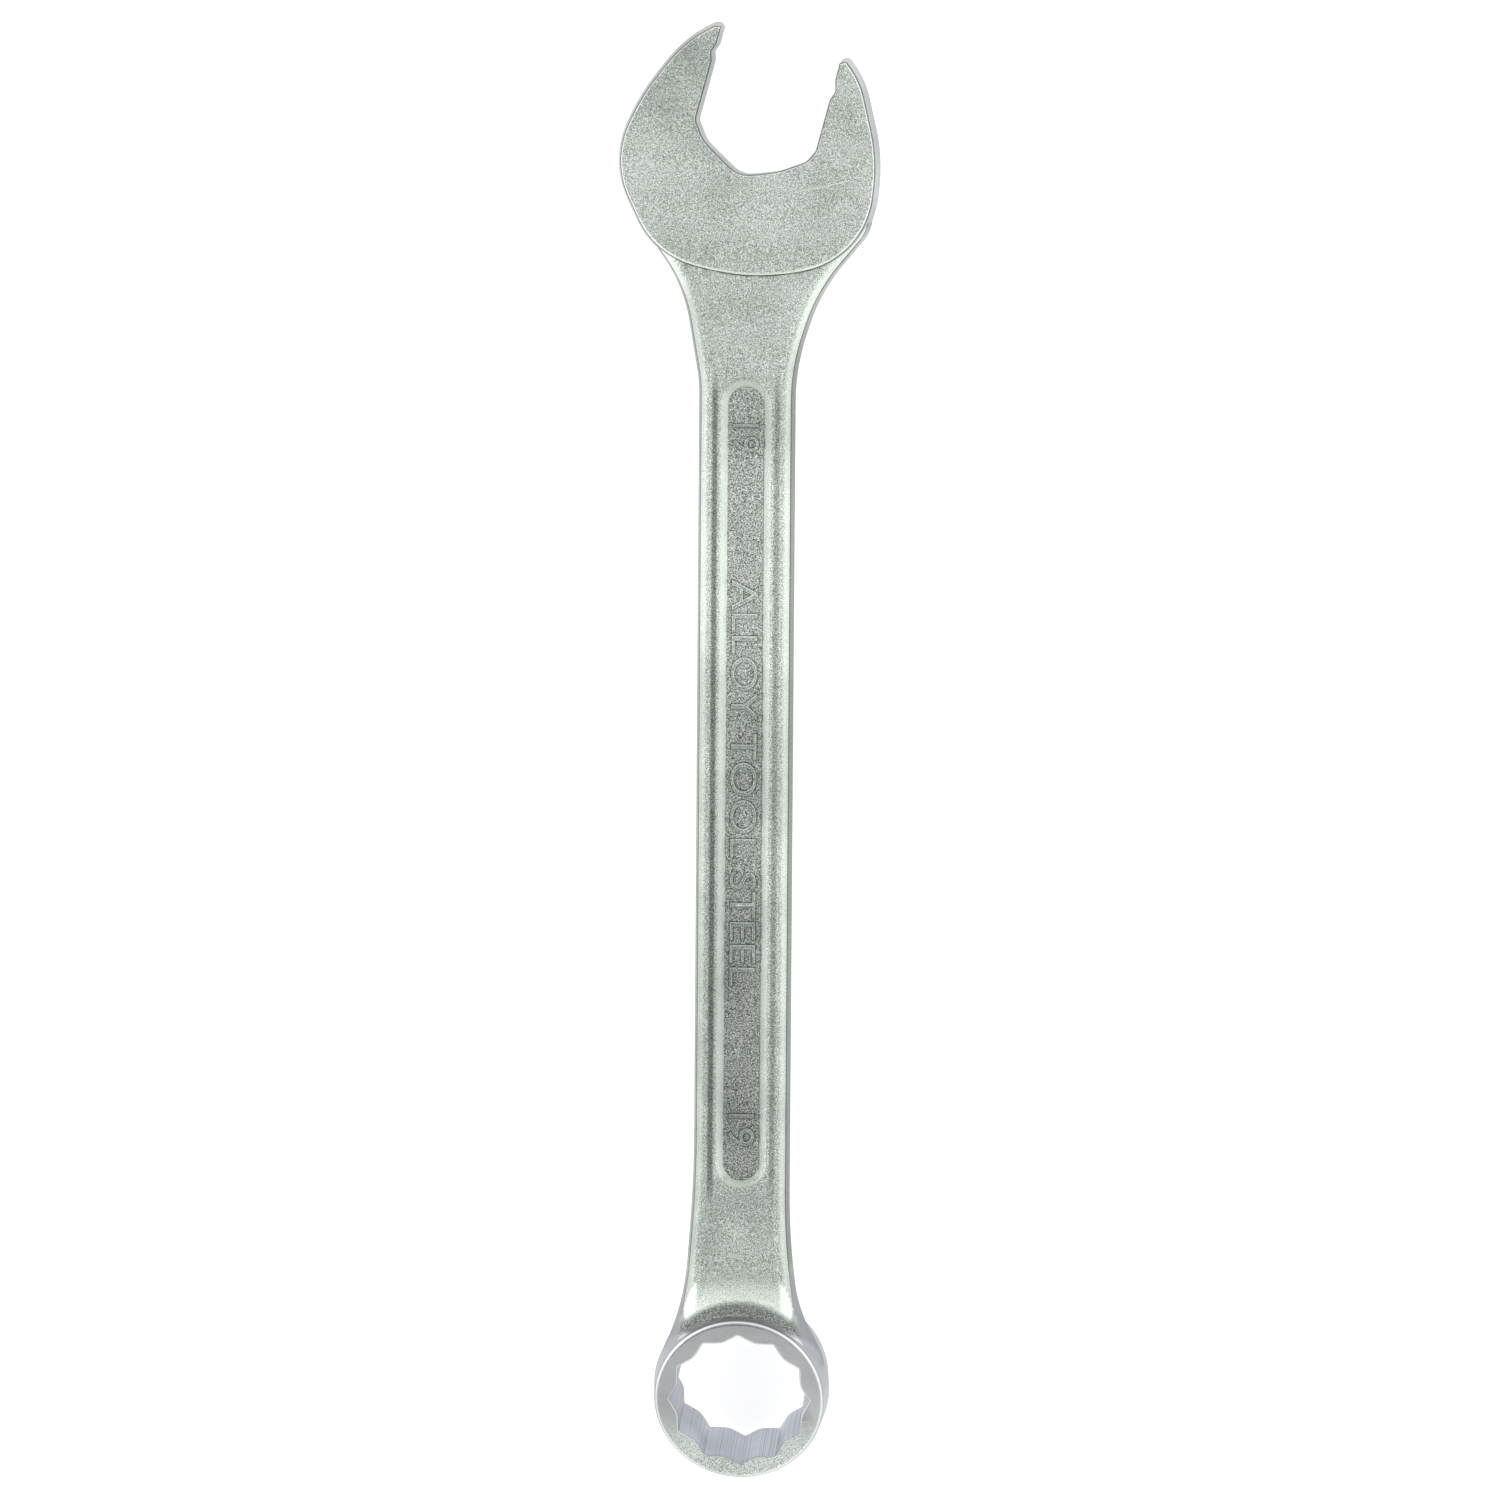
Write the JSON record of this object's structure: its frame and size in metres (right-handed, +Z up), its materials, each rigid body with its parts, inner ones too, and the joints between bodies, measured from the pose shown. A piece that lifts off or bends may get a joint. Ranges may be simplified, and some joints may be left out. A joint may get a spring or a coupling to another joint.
{
  "type": "combination wrench",
  "caption": "Drop-forged combination wrench: angled open jaw at one end, tilted bi-hexagon ring at the other, and a shank with a recessed marking panel in both faces.",
  "frame": {"origin": "centre of the bounding box's underside, on the bench that the wrench lies on with its marked face up", "axes": "+Y along the shank from the ring to the open jaw, +Z up out of the marked face, +X across the shank, right-handed"},
  "size_m": [0.0412, 0.2304, 0.0171],
  "materials": {
    "satin_chrome": "satin chrome plate over drop-forged steel"
  },
  "bodies": {
    "root": {"wrench_body": "satin_chrome"}
  },
  "joints": []
}
